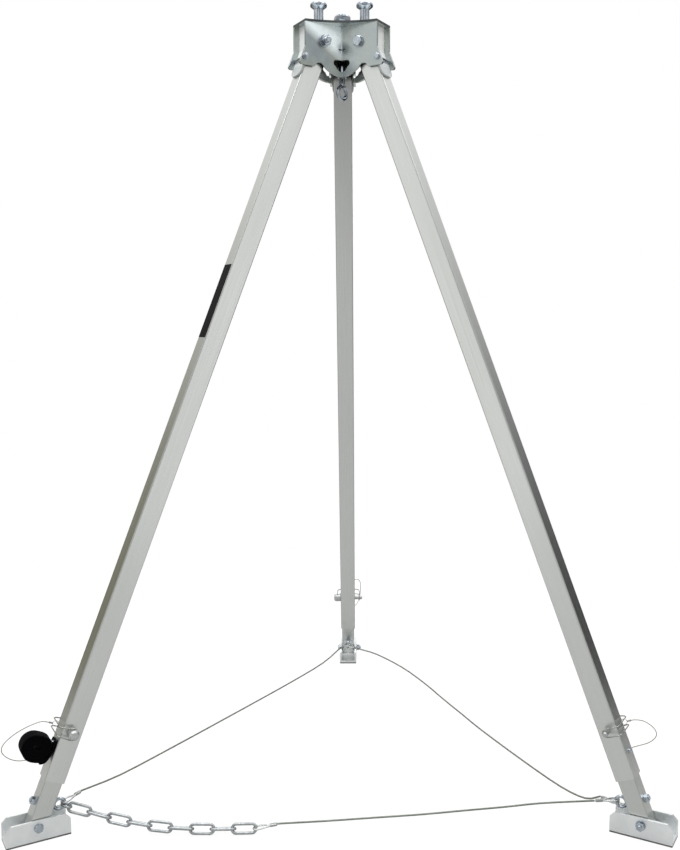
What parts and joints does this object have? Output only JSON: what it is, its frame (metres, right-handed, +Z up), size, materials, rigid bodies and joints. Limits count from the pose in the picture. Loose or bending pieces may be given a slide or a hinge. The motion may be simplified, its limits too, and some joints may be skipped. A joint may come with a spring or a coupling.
{
  "type": "rescue tripod",
  "caption": "Folding rescue tripod: bent-plate head with anchor slots and hoist eye, telescoping square legs with lock pins, swivel feet tied by rope and chain.",
  "frame": {"origin": "centre of the floor box of the three feet, on the floor", "axes": "+Z up, -Y to the front with the chain between the left and right legs, +X to the right leg"},
  "size_m": [1.6464, 1.4258, 2.0887],
  "materials": {
    "zinc_plate": "zinc plated, satin",
    "bright_zinc": "bright zinc plated",
    "spring_steel": "drawn wire",
    "satin_aluminium": "satin extrusion",
    "raw_aluminium": "raw, matt",
    "bearing": "turned",
    "lanyard_wire": "coated wire",
    "sole_rubber": "matt",
    "galvanised_rope": "galvanised strands",
    "ferrule_metal": "pressed",
    "galvanised_chain": "galvanised",
    "webbing": "woven",
    "dark_film": "matt film"
  },
  "bodies": {
    "head": {"top_plate": "zinc_plate", "front_side_plate": "zinc_plate", "right_side_plate": "zinc_plate", "left_side_plate": "zinc_plate", "stop_plates": "zinc_plate", "pivot_bolts": "bright_zinc", "stop_bolts": "bright_zinc", "plunger_barrels": "bright_zinc", "plunger_springs": "spring_steel", "hoist_eye_bolt": "bright_zinc", "hoist_nuts": "bright_zinc"},
    "leg_left": {"left_upper_tube": "satin_aluminium", "left_leg_cap": "raw_aluminium", "left_pivot_bush": "bearing", "left_lanyard_rivet": "bright_zinc", "left_lanyard": "lanyard_wire", "leg_strap": "webbing", "marking_strip": "dark_film", "left_back_rope": "galvanised_rope", "left_back_ferrules": "ferrule_metal", "front_rope": "galvanised_rope", "front_ferrules": "ferrule_metal", "front_chain": "galvanised_chain", "connecting_link": "galvanised_chain"},
    "plunger_left": {"left_plunger": "bright_zinc"},
    "pin_left": {"left_lock_pin": "bright_zinc", "left_bail": "bright_zinc"},
    "lower_left": {"left_lower_tube": "satin_aluminium", "left_tie_eye": "bright_zinc"},
    "foot_left": {"left_foot_channel": "raw_aluminium", "left_foot_sole": "sole_rubber", "left_foot_bolt": "bright_zinc"},
    "leg_right": {"right_upper_tube": "satin_aluminium", "right_leg_cap": "raw_aluminium", "right_pivot_bush": "bearing", "right_lanyard_rivet": "bright_zinc", "right_lanyard": "lanyard_wire"},
    "plunger_right": {"right_plunger": "bright_zinc"},
    "pin_right": {"right_lock_pin": "bright_zinc", "right_bail": "bright_zinc"},
    "lower_right": {"right_lower_tube": "satin_aluminium", "right_tie_eye": "bright_zinc"},
    "foot_right": {"right_foot_channel": "raw_aluminium", "right_foot_sole": "sole_rubber", "right_foot_bolt": "bright_zinc"},
    "leg_back": {"back_upper_tube": "satin_aluminium", "back_leg_cap": "raw_aluminium", "back_pivot_bush": "bearing", "back_lanyard_rivet": "bright_zinc", "back_lanyard": "lanyard_wire", "back_right_rope": "galvanised_rope", "back_right_ferrules": "ferrule_metal"},
    "plunger_back": {"back_plunger": "bright_zinc"},
    "pin_back": {"back_lock_pin": "bright_zinc", "back_bail": "bright_zinc"},
    "lower_back": {"back_lower_tube": "satin_aluminium", "back_tie_eye": "bright_zinc"},
    "foot_back": {"back_foot_channel": "raw_aluminium", "back_foot_sole": "sole_rubber", "back_foot_bolt": "bright_zinc"}
  },
  "joints": [
    {"name": "leg_left_fold", "type": "hinge", "parent": "head", "child": "leg_left", "pos_m": [-0.06235, -0.2563, 1.97938], "axis": [0.5, -0.866, 0], "range_deg": [0, 20], "deforming": ["left_back_rope", "left_back_ferrules", "front_rope", "front_ferrules", "front_chain", "connecting_link", "back_right_rope", "back_right_ferrules"]},
    {"name": "plunger_left_pull", "type": "slide", "parent": "head", "child": "plunger_left", "axis": [0, 0, 1], "range_m": [0, 0.0201], "deforming": ["plunger_springs"]},
    {"name": "leg_left_extend", "type": "slide", "parent": "leg_left", "child": "lower_left", "axis": [-0.3244, -0.1873, -0.9272], "range_m": [0, 0.6]},
    {"name": "foot_left_tilt", "type": "hinge", "parent": "lower_left", "child": "foot_left", "pos_m": [-0.74234, -0.64889, 0.036], "axis": [0.5, -0.866, 0], "range_deg": [-45, 15]},
    {"name": "lock_pin_left_pull", "type": "slide", "parent": "leg_left", "child": "pin_left", "axis": [0.5, -0.866, 0], "range_m": [0, 0.076], "deforming": ["left_bail", "left_lanyard"]},
    {"name": "leg_right_fold", "type": "hinge", "parent": "head", "child": "leg_right", "pos_m": [0.06235, -0.2563, 1.97938], "axis": [0.5, 0.866, 0], "range_deg": [0, 20]},
    {"name": "plunger_right_pull", "type": "slide", "parent": "head", "child": "plunger_right", "axis": [0, 0, 1], "range_m": [0, 0.0201]},
    {"name": "leg_right_extend", "type": "slide", "parent": "leg_right", "child": "lower_right", "axis": [0.3244, -0.1873, -0.9272], "range_m": [0, 0.6]},
    {"name": "foot_right_tilt", "type": "hinge", "parent": "lower_right", "child": "foot_right", "pos_m": [0.74234, -0.64889, 0.036], "axis": [0.5, 0.866, 0], "range_deg": [-45, 15]},
    {"name": "lock_pin_right_pull", "type": "slide", "parent": "leg_right", "child": "pin_right", "axis": [0.5, 0.866, 0], "range_m": [0, 0.076], "deforming": ["right_bail", "right_lanyard"]},
    {"name": "leg_back_fold", "type": "hinge", "parent": "head", "child": "leg_back", "pos_m": [0, -0.1483, 1.97938], "axis": [-1, 0, 0], "range_deg": [0, 20]},
    {"name": "plunger_back_pull", "type": "slide", "parent": "head", "child": "plunger_back", "axis": [0, 0, 1], "range_m": [0, 0.0201]},
    {"name": "leg_back_extend", "type": "slide", "parent": "leg_back", "child": "lower_back", "axis": [0, 0.3746, -0.9272], "range_m": [0, 0.6]},
    {"name": "foot_back_tilt", "type": "hinge", "parent": "lower_back", "child": "foot_back", "pos_m": [0, 0.63687, 0.036], "axis": [-1, 0, 0], "range_deg": [-45, 15]},
    {"name": "lock_pin_back_pull", "type": "slide", "parent": "leg_back", "child": "pin_back", "axis": [-1, 0, 0], "range_m": [0, 0.076], "deforming": ["back_bail", "back_lanyard"]}
  ],
  "couplings": [
    {"joint": "plunger_left_pull", "follows": "leg_left_fold", "m_per_rad": 0.0573},
    {"joint": "leg_right_fold", "follows": "leg_left_fold", "ratio": 1},
    {"joint": "plunger_right_pull", "follows": "leg_left_fold", "m_per_rad": 0.0573},
    {"joint": "leg_back_fold", "follows": "leg_left_fold", "ratio": 1},
    {"joint": "plunger_back_pull", "follows": "leg_left_fold", "m_per_rad": 0.0573}
  ]
}
